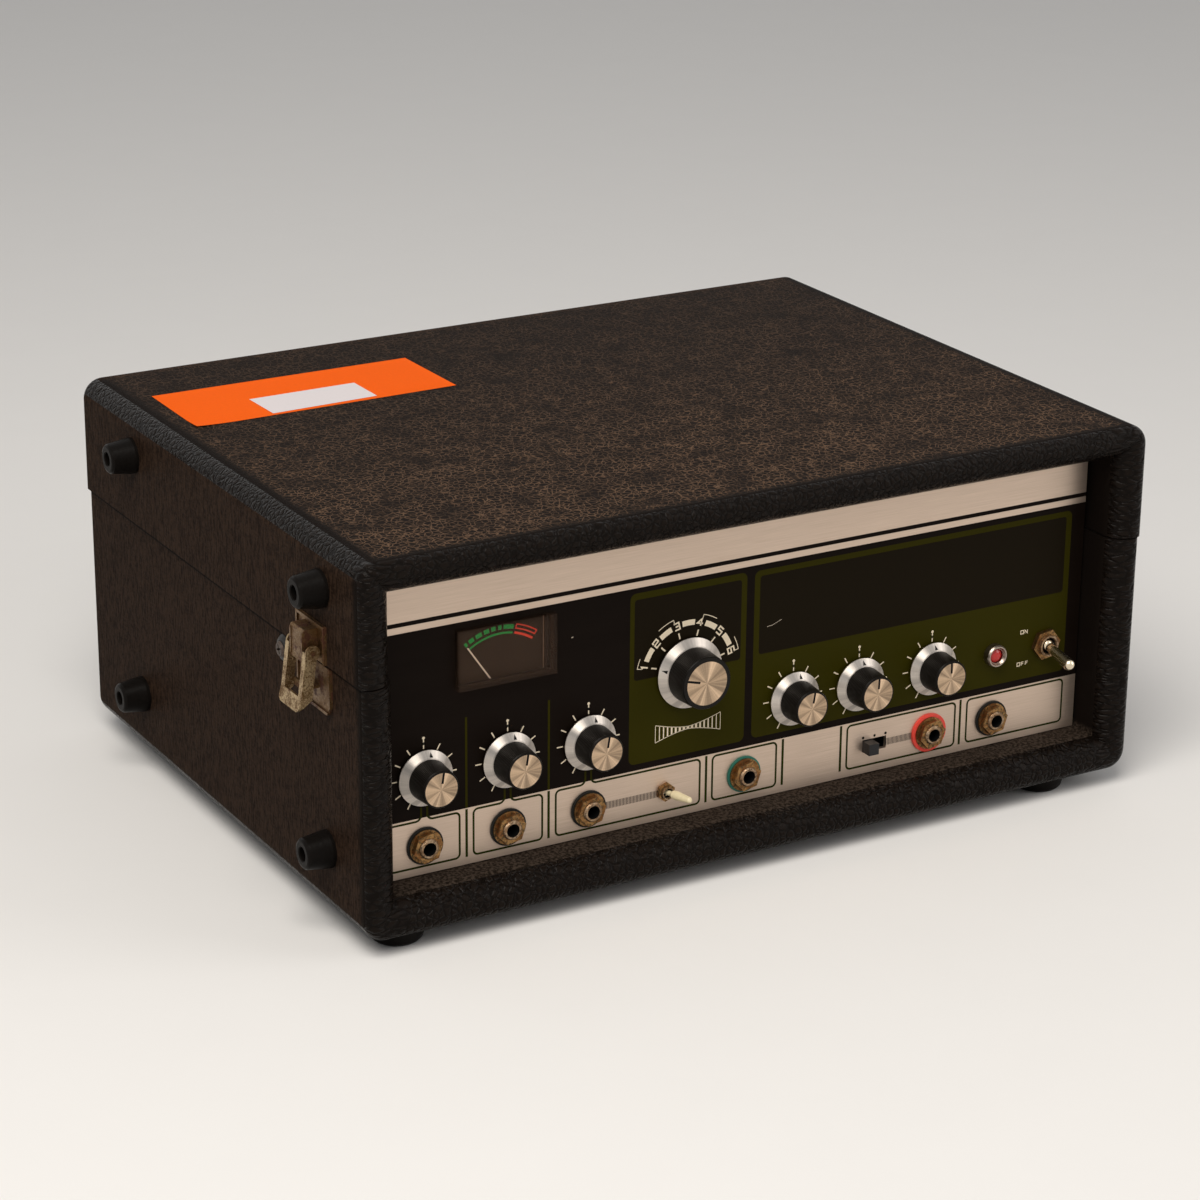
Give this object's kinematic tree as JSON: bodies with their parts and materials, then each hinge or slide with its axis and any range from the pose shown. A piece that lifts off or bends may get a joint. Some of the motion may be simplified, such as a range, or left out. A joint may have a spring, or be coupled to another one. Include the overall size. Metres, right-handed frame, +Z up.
{
  "type": "tape echo unit",
  "caption": "Portable tape echo in a covered plywood case with a hinged lid, recessed knob panel, level meter, jacks and a tape deck inside.",
  "frame": {"origin": "on the floor plane under the feet, below the middle of the case", "axes": "+X to the right seen from the front, -Y out of the control panel, +Z up"},
  "size_m": [0.4452, 0.3172, 0.185],
  "materials": {
    "tolex": "matt grained vinyl cloth over plywood",
    "rubber": "moulded, matt",
    "black_metal": "printed and anodised panel",
    "steel": "plated sheet and turned steel",
    "nickel": "worn nickel plate over brass",
    "brass": "tarnished",
    "black_plastic": "matt",
    "deck": "satin black paint",
    "alloy": "machined",
    "clear": "clear plastic sheet",
    "smoke": "smoked clear plastic",
    "ivory": "aged ivory",
    "white": "white paint",
    "lens": "red lens in a chromed bezel",
    "tape": "magnetic tape",
    "board": "phenolic circuit board",
    "iron": "varnished laminations and winding"
  },
  "bodies": {
    "case": {"case_floor": "tolex", "case_side_left": "tolex", "case_side_right": "tolex", "case_back": "tolex", "feet": "rubber", "bumpers_case": "rubber", "case_screws": "steel", "handle_strap": "black_plastic", "handle_caps": "nickel", "hinge_leaves_case": "steel", "latch_plates_case": "nickel", "front_panel": "black_metal", "chassis": "steel", "rear_plate": "alloy", "mains_gland": "rubber", "meter_body": "black_plastic", "meter_window": "smoke", "pots": "steel", "mode_switch": "steel", "jacks": "steel", "jack_washers": "black_plastic", "panel_nuts": "brass", "power_switch": "steel", "echo_switch": "steel", "output_switch": "steel", "pilot_lamp": "lens", "deck_plate": "deck", "head_base": "alloy", "heads": "steel", "motor": "steel", "drive_belt": "rubber", "tape_tank": "black_plastic", "tank_cover": "clear", "tape_loop": "tape", "transformer": "iron", "circuit_board": "board"},
    "lid": {"lid_top": "tolex", "lid_side_left": "tolex", "lid_side_right": "tolex", "lid_back": "tolex", "bumpers_lid": "rubber", "hinge_leaves_lid": "steel", "latch_plates_lid": "nickel"},
    "loop_left": {"latch_loop_left": "nickel"},
    "loop_right": {"latch_loop_right": "nickel"},
    "needle": {"meter_needle": "white"},
    "mode_selector": {"knob_mode": "black_plastic"},
    "power_toggle": {"power_lever": "steel"},
    "echo_toggle": {"echo_lever": "ivory"},
    "output_slide": {"output_slider": "black_plastic"},
    "capstan_wheel": {"capstan": "steel"},
    "motor_rotor": {"motor_pulley": "brass"},
    "pinch_swing": {"pinch_arm": "steel"},
    "pinch_wheel": {"pinch_roller": "rubber"},
    "control_mic_1": {"knob_mic_1": "black_plastic"},
    "control_mic_2": {"knob_mic_2": "black_plastic"},
    "control_instrument": {"knob_instrument": "black_plastic"},
    "control_repeat_rate": {"knob_repeat_rate": "black_plastic"},
    "control_intensity": {"knob_intensity": "black_plastic"},
    "control_echo_volume": {"knob_echo_volume": "black_plastic"}
  },
  "joints": [
    {"name": "lid_hinge", "type": "hinge", "parent": "case", "child": "lid", "pos_m": [0, 0.1589, 0.1285], "axis": [-1, 0, 0], "range_deg": [0, 105]},
    {"name": "latch_left_hinge", "type": "hinge", "parent": "lid", "child": "loop_left", "pos_m": [-0.2135, -0.107, 0.1345], "axis": [0, 1, 0], "range_deg": [-12, 100]},
    {"name": "latch_right_hinge", "type": "hinge", "parent": "lid", "child": "loop_right", "pos_m": [0.2135, -0.107, 0.1345], "axis": [0, -1, 0], "range_deg": [-12, 100]},
    {"name": "mic_1_turn", "type": "hinge", "parent": "case", "child": "control_mic_1", "pos_m": [-0.1686, -0.133, 0.0735], "axis": [0, 1, 0], "range_deg": [-159, 141]},
    {"name": "mic_2_turn", "type": "hinge", "parent": "case", "child": "control_mic_2", "pos_m": [-0.1267, -0.133, 0.0735], "axis": [0, 1, 0], "range_deg": [-159, 141]},
    {"name": "instrument_turn", "type": "hinge", "parent": "case", "child": "control_instrument", "pos_m": [-0.0853, -0.133, 0.0735], "axis": [0, 1, 0], "range_deg": [-159, 141]},
    {"name": "repeat_rate_turn", "type": "hinge", "parent": "case", "child": "control_repeat_rate", "pos_m": [0.0243, -0.133, 0.0735], "axis": [0, 1, 0], "range_deg": [-159, 141]},
    {"name": "intensity_turn", "type": "hinge", "parent": "case", "child": "control_intensity", "pos_m": [0.061, -0.133, 0.0735], "axis": [0, 1, 0], "range_deg": [-152, 148]},
    {"name": "echo_volume_turn", "type": "hinge", "parent": "case", "child": "control_echo_volume", "pos_m": [0.1026, -0.133, 0.0735], "axis": [0, 1, 0], "range_deg": [-149, 151]},
    {"name": "mode_turn", "type": "hinge", "parent": "case", "child": "mode_selector", "pos_m": [-0.0333, -0.133, 0.0974], "axis": [0, 1, 0], "range_deg": [0, 150]},
    {"name": "power_throw", "type": "hinge", "parent": "case", "child": "power_toggle", "pos_m": [0.1695, -0.135, 0.0735], "axis": [-1, 0, 0], "range_deg": [0, 26]},
    {"name": "echo_throw", "type": "hinge", "parent": "case", "child": "echo_toggle", "pos_m": [-0.0445, -0.134, 0.0403], "axis": [0, 0, -1], "range_deg": [0, 37]},
    {"name": "output_travel", "type": "slide", "parent": "case", "child": "output_slide", "axis": [1, 0, 0], "range_m": [0, 0.008]},
    {"name": "needle_swing", "type": "hinge", "parent": "case", "child": "needle", "pos_m": [-0.1283, -0.1302, 0.1043], "axis": [0, 1, 0], "range_deg": [0, 69], "stiffness_Nm_per_rad": 0.000002},
    {"name": "capstan_spin", "type": "hinge", "parent": "case", "child": "capstan_wheel", "pos_m": [-0.145, -0.05, 0.1], "axis": [0, 0, 1], "continuous": true},
    {"name": "motor_spin", "type": "hinge", "parent": "case", "child": "motor_rotor", "pos_m": [-0.06, 0.042, 0.09], "axis": [0, 0, 1], "continuous": true},
    {"name": "pinch_arm_swing", "type": "hinge", "parent": "case", "child": "pinch_swing", "pos_m": [-0.172, -0.078, 0.115], "axis": [0, 0, 1], "range_deg": [0, 10], "stiffness_Nm_per_rad": 0.02},
    {"name": "pinch_roller_spin", "type": "hinge", "parent": "pinch_swing", "child": "pinch_wheel", "pos_m": [-0.14247, -0.06824, 0.123], "axis": [0, 0, 1], "continuous": true}
  ],
  "couplings": [
    {"joint": "motor_spin", "follows": "capstan_spin", "ratio": 5.125},
    {"joint": "pinch_roller_spin", "follows": "capstan_spin", "ratio": -0.33333}
  ]
}
